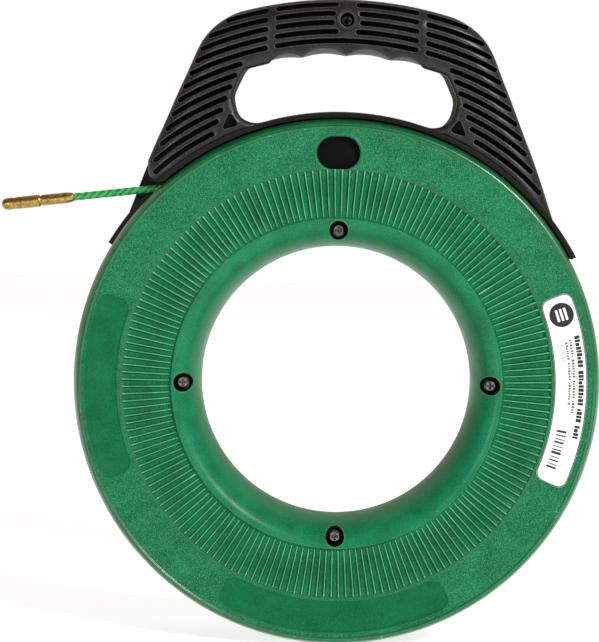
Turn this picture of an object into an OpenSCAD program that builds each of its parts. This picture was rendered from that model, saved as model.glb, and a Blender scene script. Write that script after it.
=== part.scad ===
// Fish tape reel: a two-half round case that spins in a handle, with a
// fibreglass pulling tape coiled inside it and a brass tip on the tape's end.
// The spin axis is Y, through the origin, which lies midway between the faces.
// The handle is at +Z, the front face looks to -Y and the tape leaves to -X.
// Angles are measured in the XZ plane, from +X towards +Z. Sizes are in mm.

/* [Case] */
// Outer radius of the case
case_r = 152.4; // [152:0.1:152.8]
// Distance from the mid-plane to each flat face
case_half_w = 32; // [31.5:0.5:36]
// Radius of the round between the rim and each face
rim_round = 5; // [4:0.5:6]
// Radius of the hand hole at its narrowest
hole_r = 78.7; // [77:0.1:79]
// Radius of the round that leads into the hand hole
hub_round = 16; // [15.5:0.1:16]
// Inner and outer radius of the ribbed grip band
rib_band = [94.9, 123.2];
// Depth of the grip band's floor below the flat face
rib_floor = 1.2; // [0.8:0.1:1.6]
// Turn of the case in the handle as it is stored, in degrees
case_turn = 1; // [0:1:3]

/* [Case details] */
// Radius of the circle on which the case screws sit
screw_circle_r = 88.4; // [88:0.1:88.6]
// Diameter of the counterbores over the case screws
counterbore_d = 11.3; // [10:0.1:11.5]
// Length of the window along the rim, and its width
window = [25.4, 19.4];
// Radius at which the window is centred
window_r = 131.8; // [130:0.1:133]
// Label: inner radius, outer radius, first angle, last angle
label_band = [125.7, 143.5, -24.4, 21.4];
// Smooth recessed panels: inner radius, outer radius, first and last angle
panels = [[126.3, 144.6, 158.7, 203.2], [125.4, 143.5, 241.2, 298.2]];

/* [Handle] */
// Radius of the handle's top, about the spin axis
handle_top_r = 221.2; // [220:0.1:224]
// Half the thickness of the handle
handle_half_t = 19; // [17:0.5:20]
// Depth of the cored slots in each side of the handle
slot_depth = 14; // [10:0.5:15]
// Width of each cored slot
slot_w = 2.6; // [2:0.1:3]
// Pitch of the slots, going outwards
slot_pitch = 5.27; // [5.2:0.01:5.3]
// Radius of the finger scallops along the grip
scallop_r = 41; // [38:1:44]

/* [Tape] */
// Diameter of the fibreglass tape
tape_d = 4.4; // [4.2:0.1:4.6]
// Distance from the spin axis to the straight run of tape
tape_line_r = 122.5; // [122.3:0.1:123]
// Slope of the tape's straight run below the horizontal, in degrees
tape_tilt = 7.64; // [7:0.01:8]
// Turns of tape side by side in the coil
coil_lanes = 11; // [9:1:11]
// Layers of tape in the coil
coil_layers = 4; // [3:1:4]

/* [Hidden] */
$fn = 96;
EPS = 0.05;
FAR = 400;

// Case walls
wall = 3.4;
rim_wall = 2.9;
cavity_half_w = case_half_w - wall;
rim_in_r = case_r - rim_wall;
slot_half_w = 10;
hub_centre = [hole_r + hub_round, case_half_w - hub_round];
panel_depth = 0.5;
label_t = 0.25;

// Case screws, their bosses and threaded inserts
boss_d = 14;
seat_y = -25;
case_screw_len = 35;
case_screw_d = 4;
insert_len = 12;
insert_d = 6;
head_d = 7;
head_h = 2.6;

// Handle: right-hand side points of the outline, from the corner down
side_points = [[62, 240], [62, 212.3], [67, 210.4], [75, 205.6], [82, 199], [87, 191], [91.6, 180],
    [98.5, 165], [105.5, 148.3], [113, 130.7], [119, 115.2], [122.8, 103], [125.3, 93.3], [127, 80]];
edge_wall = 3.2;
first_slot_r = 161;
leg_slots = 7;
all_slots = 12;
grip_slot_r = 195;
opening_floor_r = 156.4;
opening_corner = 12;
low_corner = [51.5, 160.5];
high_corner = [49, 171.5];
scallop_top_r = 191.6;
scallop_step = 7.8;
rib_angle = 12.2;
rib_w = 3.3;
boss_z = 209;
grip_boss_d = 13.4;
grip_hole_d = 8.2;
grip_seat_y = -6;
grip_screw_len = 18;
pocket_angle = 24.3;
pocket_depth = 12;

// Shoe that carries the handle round the case
band_r = [153, 155.8];
band_angle = 60.5;
band_half_w = 22;
neck_half_w = 9.4;
flange_r = [143, 148.6];
flange_half_w = 18;
shoe_angle = 56;
// Angle and y of each shoe screw: two per leg into the back half, one per leg into the front
shoe_screw_places = [[50, 3.2], [62, 3.2], [118, 3.2], [130, 3.2], [56, -3.2], [124, -3.2]];
shoe_screw_d = 3;
shoe_screw_len = 18;
shoe_seat_r = 146;

// Guide channel inside the case, over the outermost turns
guide_angle = 18;
guide_cheek_y = [25.2, 27.4];
guide_cheek_r = 121.6;
guide_web_r = 138;
guide_screw_angles = [80, 100];
// The guide's screws seat in spot faces, this far from the spin axis
guide_seat_r = 138.6;

// Coil and winding core
coil_r = tape_line_r - tape_d / 2 - 0.3;
coil_in_r = coil_r - coil_layers * tape_d;
coil_half_w = coil_lanes * tape_d / 2;
core_r = coil_in_r - 0.2;
core_wall = 2.4;
core_web_r = 95.6;
core_web_half_t = 1.5;
anchor_angle = 45;
anchor_y = 12.5;
anchor_size = [12, 15, 3.6];

// Tape end: distances along the straight run from where it leaves the coil
tape_y = -tape_d;
ferrule_s = [141.3, 160.6];
lead_end_s = 155;
tip_end_s = 183;
ferrule_d = 6.3;
ferrule_mouth_d = 5.2;
tip_d = 7;
stud_d = 3.8;
stud_s = [155.3, 168];
eye_d = 3;
eye_s = 175.5;

// Extrudes an outline drawn in the XZ plane from y0 to y1.
module slab(y0, y1) {
    translate([0, y1, 0]) rotate([90, 0, 0]) linear_extrude(y1 - y0) children();
}

// Turns a section of radius and distance in front of the mid-plane about the spin axis.
// The turn starts at an angle where the case has no other feature.
module turned() {
    rotate([0, -30, 0]) rotate([90, 0, 0]) rotate_extrude($fn = 180) children();
}

module ring(r0, r1) {
    difference() {
        circle(r1, $fn = 180);
        circle(r0, $fn = 180);
    }
}

// Wedge between two angles, up to 180 degrees apart.
module wedge(a0, a1) {
    a_mid = (a0 + a1) / 2;
    polygon([[0, 0], FAR * [cos(a0), sin(a0)], 2 * FAR * [cos(a_mid), sin(a_mid)],
        FAR * [cos(a1), sin(a1)]]);
}

// Part of a ring between two angles, square ended.
module arc_bar(r0, r1, a0, a1) {
    intersection() {
        ring(r0, r1);
        wedge(a0, a1);
    }
}

function arc_points(centre, r, a0, a1, steps) =
    [for (i = [0:steps]) let (a = a0 + (a1 - a0) * i / steps) centre + r * [cos(a), sin(a)]];

// Part of a ring between two angles, with full-round ends that reach the angles.
module arc_strip(r0, r1, a0, a1) {
    r_mid = (r0 + r1) / 2;
    r_end = (r1 - r0) / 2;
    first_a = a0 + asin(r_end / r_mid);
    last_a = a1 - asin(r_end / r_mid);
    steps = ceil((last_a - first_a) / 2);
    polygon(concat(
        arc_points([0, 0], r1, first_a, last_a, steps),
        arc_points(r_mid * [cos(last_a), sin(last_a)], r_end, last_a + 15, last_a + 165, 10),
        arc_points([0, 0], r0, last_a, first_a, steps),
        arc_points(r_mid * [cos(first_a), sin(first_a)], r_end, first_a + 195, first_a + 345, 10)));
}

// Places children, drawn along +Z, at a radius and angle, pointing outwards.
module radial(r, a, y) {
    rotate([0, -a, 0]) translate([r, y, 0]) rotate([0, 90, 0]) children();
}

// Places children, drawn along +Z from 0, along the tape's straight run.
module along_tape() {
    rotate([0, -tape_tilt, 0]) translate([0, tape_y, tape_line_r]) rotate([0, -90, 0]) children();
}

// Room below and in front of the tape where it leaves, with a gap above its centreline.
module tape_exit(gap) {
    rotate([0, -tape_tilt, 0]) translate([-FAR - 40, -FAR, tape_line_r - FAR])
        cube([FAR, FAR, FAR + gap]);
}

// Pan-head screw with a cross recess. The seat is at z = 0 and the shank goes down.
module pan_screw(d, len, hd, hh) {
    recess_w = hd * 0.17;
    difference() {
        union() {
            translate([0, 0, -len]) cylinder(d = d, h = len + EPS);
            cylinder(d = hd, h = hh * 0.6);
            translate([0, 0, hh * 0.6]) cylinder(d1 = hd, d2 = hd * 0.75, h = hh * 0.4);
        }
        for (a = [0, 90]) rotate(a) translate([-hd * 0.29, -recess_w / 2, hh * 0.35])
            cube([hd * 0.58, recess_w, hh]);
    }
}

// Outline of the handle above the shoe, without its opening.
module handle_outline() {
    left = [for (i = [len(side_points) - 1:-1:0]) [-side_points[i][0], side_points[i][1]]];
    difference() {
        intersection() {
            circle(handle_top_r, $fn = 180);
            polygon(concat(side_points, left));
        }
        circle(band_r[1], $fn = 180);
    }
}

// Grip opening, with four finger scallops along its top.
module grip_opening() {
    difference() {
        union() {
            for (side = [-1, 1]) {
                translate([side * low_corner[0], low_corner[1]]) circle(opening_corner);
                translate([side * high_corner[0], high_corner[1]]) circle(opening_corner);
            }
            polygon([for (side = [1, -1], p = side > 0 ? [1, 2, 3, 4] : [4, 3, 2, 1])
                [side * [0, 51.5, 63.5, 61, 49][p], [0, 148.5, 160.5, 171.5, 183.5][p]]]);
            intersection() {
                for (k = [-3:2:3]) rotate(k * scallop_step / 2)
                    translate([0, scallop_top_r - scallop_r]) circle(scallop_r);
                translate([-53, 175]) square([106, 30]);
            }
        }
        circle(opening_floor_r, $fn = 180);
    }
}

// Cored slots: arcs about the spin axis, kept clear of the edges, ribs and boss.
module handle_slots() {
    difference() {
        intersection() {
            for (k = [0:all_slots - 1])
                ring(first_slot_r + k * slot_pitch - slot_w / 2, first_slot_r + k * slot_pitch + slot_w / 2);
            translate([edge_wall, 0]) handle_outline();
            translate([-edge_wall, 0]) handle_outline();
        }
        intersection() {
            polygon([[-86, 105], [-74, 143], [-62, 182.3], [-58, 200],
                [58, 200], [62, 182.3], [74, 143], [86, 105]]);
            circle(grip_slot_r, $fn = 180);
        }
        for (a = [-rib_angle, rib_angle]) rotate(a) translate([-rib_w / 2, grip_slot_r]) square([rib_w, 40]);
        translate([0, boss_z]) circle(d = grip_boss_d);
    }
}

module pockets() {
    for (side = [-1, 1]) rotate(side * pocket_angle) translate([0, first_slot_r + 2.5])
        polygon([[-3.4, -5.5], [3.4, -5.5], [-side * 0.8, 5.5]]);
}

// One half of the handle, with its cored face towards the given side (-1 front, 1 back).
module handle_half(side) {
    web_y = handle_half_t - slot_depth;
    difference() {
        slab(min(0, side * handle_half_t), max(0, side * handle_half_t)) difference() {
            handle_outline();
            grip_opening();
        }
        slab(min(side * web_y, side * FAR), max(side * web_y, side * FAR)) handle_slots();
        slab(min(side * (handle_half_t - pocket_depth), side * FAR),
            max(side * (handle_half_t - pocket_depth), side * FAR)) pockets();
    }
}

module shoe_pilots() {
    for (p = shoe_screw_places) radial(band_r[1] - 1, p[0], p[1])
        cylinder(d = shoe_screw_d + 0.1, h = shoe_seat_r + shoe_screw_len - band_r[1] + 2);
}

module handle_front() {
    color([0.17, 0.16, 0.17]) difference() {
        handle_half(-1);
        tape_exit(tape_d / 2 + 2.4);
        translate([0, grip_seat_y, boss_z]) rotate([90, 0, 0]) cylinder(d = grip_hole_d, h = FAR);
        translate([0, EPS, boss_z]) rotate([90, 0, 0]) cylinder(d = case_screw_d + 0.5, h = FAR);
        shoe_pilots();
    }
}

module handle_back() {
    color([0.17, 0.16, 0.17]) difference() {
        handle_half(1);
        translate([0, 14, boss_z]) rotate([90, 0, 0]) cylinder(d = case_screw_d + 0.1, h = 20);
        shoe_pilots();
    }
}

module handle_screw() {
    color([0.3, 0.3, 0.32]) translate([0, grip_seat_y, boss_z]) rotate([90, 0, 0])
        pan_screw(case_screw_d, grip_screw_len, head_d, head_h);
}

// Band over the rims, neck through the gap between them, and flange inside them.
module slide_shoe() {
    color([0.12, 0.12, 0.12]) difference() {
        union() {
            slab(-band_half_w, band_half_w) arc_bar(band_r[0], band_r[1], 90 - band_angle, 90 + band_angle);
            slab(-neck_half_w, neck_half_w)
                arc_bar(flange_r[0] + 1, band_r[0] + 1, 90 - shoe_angle, 90 + shoe_angle);
            slab(-flange_half_w, flange_half_w)
                arc_bar(flange_r[0], flange_r[1], 90 - shoe_angle, 90 + shoe_angle);
        }
        tape_exit(tape_d / 2 + 1.4);
        for (p = shoe_screw_places) {
            radial(flange_r[0] - 1, p[0], p[1]) cylinder(d = 6.2, h = shoe_seat_r - flange_r[0] + 1);
            radial(flange_r[0], p[0], p[1]) cylinder(d = shoe_screw_d + 0.3, h = 20);
        }
        for (a = guide_screw_angles) radial(flange_r[0] - 1, a, 0) cylinder(d = 3.1, h = 6);
    }
}

module shoe_screws() {
    color([0.3, 0.3, 0.32]) for (p = shoe_screw_places)
        radial(shoe_seat_r, p[0], p[1]) rotate([180, 0, 0]) pan_screw(shoe_screw_d, shoe_screw_len, 5.6, 2.2);
}

// Channel that keeps the outer turns in place and fills the view through the window.
module tape_guide() {
    first_a = 90 - guide_angle;
    last_a = 90 + guide_angle;
    color([0.06, 0.06, 0.06]) difference() {
        union() {
            for (side = [-1, 1])
                slab(side > 0 ? guide_cheek_y[0] : -guide_cheek_y[1], side > 0 ? guide_cheek_y[1] : -guide_cheek_y[0])
                    arc_bar(guide_cheek_r, flange_r[0], first_a, last_a);
            slab(-guide_cheek_y[0] - EPS, guide_cheek_y[0] + EPS) arc_bar(guide_web_r, flange_r[0], first_a, last_a);
        }
        for (a = guide_screw_angles) {
            radial(guide_web_r - 1, a, 0) cylinder(d = 3.3, h = 8);
            radial(guide_web_r - 1, a, 0) cylinder(d = 6.2, h = guide_seat_r - guide_web_r + 1);
        }
    }
}

module guide_screws() {
    color([0.3, 0.3, 0.32]) for (a = guide_screw_angles)
        radial(guide_seat_r, a, 0) rotate([180, 0, 0]) pan_screw(3, 9, 5.6, 2);
}

// Outer section of one half, filled in: a rounded rim, the rib band and a rounded hub.
module case_profile() {
    difference() {
        union() {
            translate([hub_centre[0], 0]) square([case_r - rim_round - hub_centre[0], case_half_w]);
            translate([hub_centre[0], 0]) square([case_r - hub_centre[0], case_half_w - rim_round]);
            translate([case_r - rim_round, case_half_w - rim_round]) circle(rim_round);
            translate([hole_r, 0]) square([hub_round, hub_centre[1]]);
            translate(hub_centre) circle(hub_round);
        }
        translate([rib_band[0], case_half_w - rib_floor]) square([rib_band[1] - rib_band[0], 10]);
    }
}

// Section of the shell: the profile less the cavity and the gap in the rim.
module case_section() {
    difference() {
        case_profile();
        translate([hub_centre[0], 0]) square([rim_in_r - hub_centre[0], cavity_half_w]);
        translate([hole_r + wall, 0]) square([hub_round, hub_centre[1]]);
        translate(hub_centre) circle(hub_round - wall);
        translate([rim_in_r - 1, -1]) square([10, slot_half_w + 1]);
        translate([0, -60]) square([FAR, 60]);
    }
}

// Shell of the front half with its four screw bosses, kept inside the profile.
module case_half() {
    turned() case_section();
    intersection() {
        at_screws() cylinder(d = boss_d, h = cavity_half_w);
        turned() case_profile();
    }
}

// Places children at each case screw, drawn with +Z pointing out of the front.
module at_screws() {
    for (a = [0:90:270]) rotate([0, -a - case_turn, 0]) translate([screw_circle_r, 0, 0]) rotate([90, 0, 0])
        children();
}

module case_front() {
    color([0.16, 0.51, 0.35]) difference() {
        case_half();
        at_screws() {
            translate([0, 0, -seat_y]) cylinder(d = counterbore_d, h = 20);
            translate([0, 0, -1]) cylinder(d = case_screw_d + 0.6, h = 60);
        }
        rotate([0, -case_turn, 0]) {
            slab(-FAR, -cavity_half_w + 1) window_outline();
            slab(-FAR, -case_half_w + panel_depth) for (p = panels) arc_strip(p[0], p[1], p[2], p[3]);
        }
    }
}

// Window: a straight-sided oval along the rim.
module window_outline() {
    side = (window[0] - window[1]) / 2;
    polygon(concat(
        arc_points([side, window_r], window[1] / 2, -90, 90, 24),
        arc_points([-side, window_r], window[1] / 2, 90, 270, 24)));
}

module case_back() {
    color([0.16, 0.51, 0.35]) difference() {
        mirror([0, 1, 0]) case_half();
        mirror([0, 1, 0]) at_screws() {
            translate([0, 0, -1]) cylinder(d = insert_d, h = insert_len + 1);
            cylinder(d = case_screw_d + 0.6, h = 18);
        }
    }
}

module case_screws() {
    color([0.3, 0.3, 0.32]) at_screws() translate([0, 0, -seat_y])
        pan_screw(case_screw_d, case_screw_len, head_d, head_h);
}

module case_inserts() {
    color([0.75, 0.6, 0.3]) at_screws() difference() {
        translate([0, 0, -insert_len]) cylinder(d = insert_d, h = insert_len);
        translate([0, 0, -insert_len - 1]) cylinder(d = case_screw_d + 0.1, h = insert_len + 2);
    }
}

module rating_label() {
    color([0.95, 0.95, 0.93]) rotate([0, -case_turn, 0]) slab(-case_half_w - label_t, -case_half_w)
        arc_strip(label_band[0], label_band[1], label_band[2], label_band[3]);
}

// Plain moulded ring that fits over the screw bosses and carries the coil.
module winding_core() {
    color([0.2, 0.2, 0.2]) difference() {
        union() {
            slab(-coil_half_w, coil_half_w) ring(core_r - core_wall, core_r);
            slab(-core_web_half_t, core_web_half_t) ring(core_web_r, core_r - 1);
        }
        radial(90, anchor_angle, anchor_y) cylinder(d = 3.1, h = 20);
    }
}

module tape_coil() {
    color([0.2, 0.7, 0.35]) slab(-coil_half_w, coil_half_w) ring(coil_in_r, coil_r);
}

// Clamp under the core that grips the tape's inner end.
module tape_anchor() {
    seat_r = core_r - core_wall;
    color([0.5, 0.5, 0.5]) difference() {
        radial(seat_r - anchor_size[2] - 0.5, anchor_angle, anchor_y)
            translate([-anchor_size[0] / 2, -anchor_size[1] / 2, 0]) cube([anchor_size[0], anchor_size[1], anchor_size[2]]);
        radial(seat_r - anchor_size[2] - 2, anchor_angle, anchor_y) cylinder(d = 3.3, h = 10);
    }
}

module anchor_screw() {
    color([0.3, 0.3, 0.32]) radial(core_r - core_wall - anchor_size[2] - 0.5, anchor_angle, anchor_y)
        rotate([180, 0, 0]) pan_screw(3, 5.4, 5.6, 2);
}

module tape_lead() {
    color([0.2, 0.7, 0.35]) along_tape() cylinder(d = tape_d, h = lead_end_s);
}

module tape_ferrule() {
    taper = 4;
    color([0.72, 0.56, 0.27]) along_tape() difference() {
        union() {
            translate([0, 0, ferrule_s[0]]) cylinder(d1 = ferrule_mouth_d, d2 = ferrule_d, h = taper);
            translate([0, 0, ferrule_s[0] + taper]) cylinder(d = ferrule_d, h = ferrule_s[1] - ferrule_s[0] - taper);
        }
        translate([0, 0, ferrule_s[0] - 1]) cylinder(d = tape_d, h = lead_end_s - ferrule_s[0] + 1);
        translate([0, 0, ferrule_s[0]]) cylinder(d = stud_d, h = 40);
    }
}

module tip_stud() {
    color([0.6, 0.6, 0.6]) along_tape() translate([0, 0, stud_s[0]]) cylinder(d = stud_d, h = stud_s[1] - stud_s[0]);
}

// Leader with a rounded nose and a cross hole to tie a pulling line to.
module leader_tip() {
    nose = tip_d / 2;
    color([0.72, 0.56, 0.27]) along_tape() difference() {
        union() {
            translate([0, 0, ferrule_s[1]]) cylinder(d = tip_d, h = tip_end_s - nose - ferrule_s[1]);
            translate([0, 0, tip_end_s - nose]) sphere(r = nose);
        }
        translate([0, 0, ferrule_s[1] - 1]) cylinder(d = stud_d, h = stud_s[1] - ferrule_s[1] + 1.5);
        translate([0, 0, eye_s]) rotate([0, 90, 0]) translate([0, 0, -20]) cylinder(d = eye_d, h = 40);
    }
}

handle_front();
handle_back();
handle_screw();
slide_shoe();
shoe_screws();
tape_guide();
guide_screws();
case_front();
case_back();
case_screws();
case_inserts();
rating_label();
winding_core();
tape_coil();
tape_anchor();
anchor_screw();
tape_lead();
tape_ferrule();
tip_stud();
leader_tip();
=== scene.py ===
from math import atan2, ceil, cos, degrees, floor, hypot, pi, radians, sin, sqrt
import bmesh
import bpy
import numpy as np
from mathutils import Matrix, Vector
from mathutils.geometry import delaunay_2d_cdt


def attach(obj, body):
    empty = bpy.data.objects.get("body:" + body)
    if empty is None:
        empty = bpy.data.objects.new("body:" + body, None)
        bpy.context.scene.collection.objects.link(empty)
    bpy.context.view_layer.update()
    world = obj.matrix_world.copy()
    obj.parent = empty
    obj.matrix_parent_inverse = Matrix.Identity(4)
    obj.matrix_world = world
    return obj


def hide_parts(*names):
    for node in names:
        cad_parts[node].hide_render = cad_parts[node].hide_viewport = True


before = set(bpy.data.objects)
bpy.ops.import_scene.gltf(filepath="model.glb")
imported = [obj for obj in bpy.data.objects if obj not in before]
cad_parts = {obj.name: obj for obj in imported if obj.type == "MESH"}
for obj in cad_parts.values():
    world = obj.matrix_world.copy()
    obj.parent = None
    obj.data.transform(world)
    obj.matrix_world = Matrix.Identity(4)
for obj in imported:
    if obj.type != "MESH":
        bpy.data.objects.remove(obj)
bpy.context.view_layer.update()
join = np.concatenate

# Sizes are in millimetres and angles in degrees, in the part's own frame: the spin axis is Y,
# the handle is at +Z, the front faces -Y and angles run from +X towards +Z.
MM = 0.001

# Case: radii about the spin axis, and depths measured out from the mid-plane
CASE_R = 152.4
CASE_D = 32.0
FACE_D = 31.6
HOLE_R = 78.7
HUB_ROUND = 16.0
RIB_IN_R = 94.9
RIB_OUT_R = 123.2
RIB_FLOOR_D = 29.7
RIB_COUNT = 180
RIB_HEIGHT = 1.65
# Columns of each rib that carry a painted highlight, and painted shade.
RIB_HIGHLIGHT_COLUMNS = (3, 4)
RIB_SHADE_COLUMNS = (6,)
CAVITY_D = 28.6
BEAD_R = 147.5
HUB_WALL = 3.4
RIM_IN_R = 149.5
RIM_ROUND_R = 5.0
RIM_ROUND_D = 20.0
SLOT_D = 10.0
CASE_TURN = 1.0
SCREW_CIRCLE_R = 88.4
COUNTERBORE_D = 11.3
COUNTERBORE_FLOOR_D = 18.6
SCREW_SEAT_D = 25.0
SCREW_SEAT_R = 3.3
WINDOW_R = 132.5
WINDOW_SIZE = (24.9, 18.8)
WINDOW_TURN = 1.27
RIB_TURN = 0.25
PANELS = ((126.3, 144.6, 158.7, 203.2), (125.4, 143.5, 241.2, 298.2))
PANEL_CORNER = 6.5
PANEL_DEPTH = 0.45
LABEL = (124.9, 143.5, -24.4, 22.7)

# Handle
HANDLE_TOP_R = 221.2
HANDLE_HALF_T = 19.0
HANDLE_SIDE = (
    (62, 212.3), (67, 210.2), (74.6, 205.4), (81.2, 198.7), (85.8, 190.7), (90, 180), (96.6, 165),
    (103.3, 148.3), (110.8, 130.7), (116.6, 115.2), (120.8, 103), (124.4, 93.3), (127, 80),
)
FRONT_SNOUT = (
    (-107.6, 113.2), (-109.6, 113.9), (-111.2, 115.4), (-112.3, 117.4), (-112.8, 119.6), (-112.9, 122.0),
)
BAND_R = 155.8
SLOT_FIRST_R = 160.4
SLOT_PITCH = 5.22
SLOT_COUNT = 12
SLOT_HALF_W = 1.42
SLOT_FLOOR_Y = 5.0
SLOT_MARGIN = ((112, 124.6, 134.8, 146, 170, 180), (1.2, 2.0, 1.6, 0.7, 0.55, 0.32))
GRIP_SLOT_R = 195.0
DIVIDER_X = 43.3
DIVIDER_HALF_W = 1.9
BOSS_Z = 209.0
GRIP_BOSS_R = 6.2
BOSS_SLOT_R = 7.3
BOSS_WEB_HALF_W = 4.9
BOSS_WEB_Z = 199.0
GRIP_HOLE_R = 4.1
GRIP_SEAT_Y = 6.0
KEEP_OUT = (
    (-86, 105), (-74, 143), (-69, 157.5), (-64.3, 170), (-59.2, 182.3), (-56, 200), (56, 200),
    (59.2, 182.3), (64.3, 170), (69, 157.5), (74, 143), (86, 105),
)
OPENING_CENTRE = (0.0, 172.0)
OPENING_FLOOR_R = 156.4
SCALLOP_R = 41.0
SCALLOP_CENTRE_R = 150.6
SCALLOP_ANGLES = (-11.7, -3.9, 3.9, 11.7)
SCALLOP_LOW_Z = 178.0
PARTING_GROOVE = 0.22
GRID_GAP = 1.45
LIP_BLEND = 0.35
CORNER_BLEND = 0.8
CORNER_R = 12.0
HOLE_HIGHLIGHT_W = 0.42
FRONT_SCALLOPS = ((-10.6, 191.9, 13.5), (-3.9, 193.0, 18.0), (3.9, 193.0, 18.0), (10.6, 191.9, 13.5))
FRONT_LIP_R = 187.9
SCALLOPS_END_X = 45.0
POCKET = ((66.1, 154.2), (60.7, 146.9), (70.6, 143.9))
ROLL_W = 13.0
ROLL_DEPTH = 9.0

# Tape
TAPE_D = 4.4
WRAP_STARTS = 3
TAPE_FOOT = np.array([-16.286, -4.4, 121.413])
TAPE_DIR = np.array([-0.991123, 0.0, -0.132948])
TAPE_UP = np.array([-0.132948, 0.0, 0.991123])
TAPE_SIDE = np.array([0.0, 1.0, 0.0])
LEAD_LEN = 155.0
COIL_LANES = 11
COIL_RADII = (104.6, 109.0, 113.4, 117.8)
FERRULE_S = (141.3, 160.6)
TIP_END_S = 182.9
EYE_S = 175.5
NOSE_BLUNT = 0.62


# ==== Camera

def make_camera():
    """Camera a little above the spin axis, turned so that the handle leans to the right."""
    distance = 1.3
    elevation = radians(3.4)
    roll = radians(1.7)
    aim = Vector((-22.4, 0.0, 34.0)) * MM
    out = Vector((0, -cos(elevation), sin(elevation)))
    level_up = Vector((0, sin(elevation), cos(elevation)))
    level_right = Vector((1, 0, 0))
    right = cos(roll) * level_right + sin(roll) * level_up
    up = cos(roll) * level_up - sin(roll) * level_right
    data = bpy.data.cameras.new("camera")
    data.lens = 124.3
    data.sensor_width = 36.0
    data.clip_end = 20.0
    camera = place("camera", data)
    matrix = camera.matrix_world.copy()
    for column, vector in enumerate((right, up, out, aim + distance * out)):
        matrix.col[column][:3] = vector
    camera.matrix_world = matrix
    bpy.context.scene.camera = camera


# ==== Materials

def link(source, target):
    target.id_data.links.new(source, target)


def new_node(tree, kind):
    return tree.nodes.new("ShaderNode" + kind)


def put(node, **values):
    """Sets unlinked inputs; an underscore in a name stands for a space."""
    for name, value in values.items():
        node.inputs[name.replace("_", " ")].default_value = value


def place(name, data):
    thing = bpy.data.objects.new(name, data)
    bpy.context.scene.collection.objects.link(thing)
    return thing


def at_angle(a):
    """Unit (x, z) direction at an angle in degrees from +X towards +Z."""
    return np.array([cos(radians(a)), sin(radians(a))])


def noise(coords, size_mm, detail=2.0, rough=0.5, stretch=None):
    """Noise whose features are about size_mm across."""
    if stretch:
        mapping = new_node(coords.id_data, "Mapping")
        put(mapping, Scale=stretch)
        link(coords, mapping.inputs["Vector"])
        coords = mapping.outputs["Vector"]
    node = new_node(coords.id_data, "TexNoise")
    put(node, Scale=1.0 / (size_mm * MM), Detail=detail, Roughness=rough)
    link(coords, node.inputs["Vector"])
    return node.outputs["Fac"]


def remap(value, low, high, to_low=0.0, to_high=1.0):
    node = new_node(value.id_data, "MapRange")
    put(node, From_Min=low, From_Max=high, To_Min=to_low, To_Max=to_high)
    link(value, node.inputs["Value"])
    return node.outputs["Result"]


def mix(factor, first, second):
    """Colour mix; first and second are colours or sockets."""
    node = new_node(factor.id_data, "Mix")
    node.data_type = "RGBA"
    link(factor, node.inputs["Factor"])
    for socket, value in ((node.inputs[6], first), (node.inputs[7], second)):
        if isinstance(value, tuple):
            socket.default_value = (*value, 1.0)
        else:
            link(value, socket)
    return node.outputs[2]


def linear(r, g, b):
    """Linear colour from 0-255 display values."""
    return tuple(((c / 255 + 0.055) / 1.055) ** 2.4 if c > 10 else c / 255 / 12.92 for c in (r, g, b))


def new_material(name, metallic=0.0, specular=0.5):
    """A material's shader, and the object coordinates for its textures."""
    material = bpy.data.materials.new(name)
    material.use_nodes = True
    shader = material.node_tree.nodes["Principled BSDF"]
    put(shader, Metallic=metallic, Specular_IOR_Level=specular)
    return material, shader, new_node(material.node_tree, "TexCoord").outputs["Object"]


def shade(shader, colour, rough, height, strength, distance_mm):
    """Links a colour, a roughness and a bump to a shader."""
    node = new_node(shader.id_data, "Bump")
    put(node, Strength=strength, Distance=distance_mm * MM)
    link(height, node.inputs["Height"])
    link(node.outputs["Normal"], shader.inputs["Normal"])
    link(colour, shader.inputs["Base Color"])
    link(rough, shader.inputs["Roughness"])


def worn_edges_and_hollow_shade(colour, worn, speck_and_hollow_shade=None):
    """Lightens convex edges, which handling polishes, and darkens hollows with painted shade."""
    point = new_node(colour.id_data, "NewGeometry").outputs["Pointiness"]
    colour = mix(remap(point, 0.53, 0.62, 0.0, 0.6), colour, worn)
    # Hollows, found by low pointiness, are darkened: painted shade.
    if speck_and_hollow_shade:
        colour = mix(remap(point, 0.485, 0.41, 0.0, 0.55), colour, speck_and_hollow_shade)
    return colour


PATCH_MM = 14.0


def plastic(name, dark, light, worn, rough, grain_mm, grain_depth, speckle, shine):
    """Moulded plastic: blotchy colour, fine grain in colour and bump, lighter worn edges and painted shade in
    hollows.
    """
    material, shader, coords = new_material(name, specular=shine)
    patch = remap(noise(coords, PATCH_MM, 3.0), 0.35, 0.65)
    grain = noise(coords, grain_mm, 2.0, 0.6)
    # Dark colour for the grain's specks, and for the painted shade in hollows.
    speck_and_hollow_shade = tuple(c * 0.22 for c in dark)
    base = mix(remap(grain, 0.5, 0.72, 0.0, speckle), mix(patch, dark, light), worn)
    base = mix(remap(grain, 0.5, 0.28, 0.0, speckle), base, speck_and_hollow_shade)
    smear = noise(coords, 0.6 * PATCH_MM, 4.0, 0.6)
    shade(shader, worn_edges_and_hollow_shade(base, worn, speck_and_hollow_shade), remap(smear, 0.3, 0.7, *rough), grain, 0.6, grain_depth)
    return material


def brass(name):
    """Turned brass: fine rings round the axis, tarnish and brighter worn edges."""
    material, shader, coords = new_material(name, metallic=1.0)
    rings = noise(coords, 0.5, 3.0, 0.6, (1.0, 0.08, 0.15))
    tarnish = remap(noise(coords, 4.0, 4.0, 0.6), 0.35, 0.65)
    base = mix(tarnish, linear(204, 170, 100), linear(146, 116, 58))
    base = mix(remap(rings, 0.45, 0.75, 0.0, 0.6), base, linear(104, 78, 36))
    colour = worn_edges_and_hollow_shade(base, linear(244, 222, 162))
    shade(shader, colour, remap(rings, 0.3, 0.7, 0.22, 0.42), rings, 0.35, 0.05)
    return material


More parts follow.
